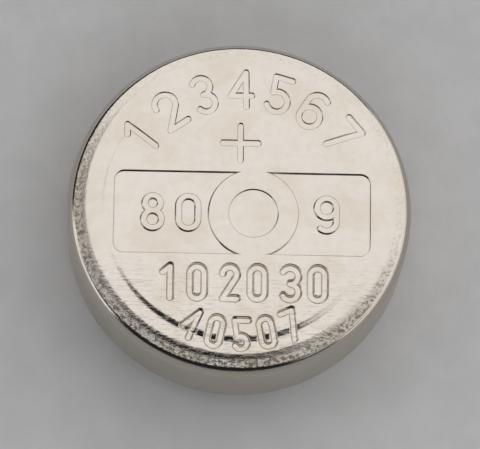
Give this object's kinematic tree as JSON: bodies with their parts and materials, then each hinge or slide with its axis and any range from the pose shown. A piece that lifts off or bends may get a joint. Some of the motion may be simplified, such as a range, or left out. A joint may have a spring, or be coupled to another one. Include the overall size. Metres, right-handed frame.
{
  "type": "silver oxide button cell",
  "caption": "Small round silver oxide button cell with a stamped positive can, a nylon seal and a crimped-in negative cap.",
  "frame": {"origin": "centre of the flat negative contact face, on the surface that the cell lies on", "axes": "+Z along the cell's axis, out of the stamped positive face; +Y towards the top of the stamped numbers; +X to their right"},
  "size_m": [0.0068, 0.0068, 0.0026],
  "materials": {
    "nickel_can": "nickel plate, stamped and tumbled, satin",
    "nickel_cap": "nickel face of clad sheet, smooth satin",
    "seal": "moulded nylon, wetted with sealant",
    "cathode": "pressed black powder",
    "separator": "thin cellulose film",
    "absorbent": "felted non-woven, damp",
    "anode": "zinc powder gel"
  },
  "bodies": {
    "root": {"positive_can": "nickel_can", "cathode_pellet": "cathode", "separator_film": "separator", "absorbent_pad": "absorbent", "anode_gel": "anode", "negative_cap": "nickel_cap", "gasket": "seal"}
  },
  "joints": []
}
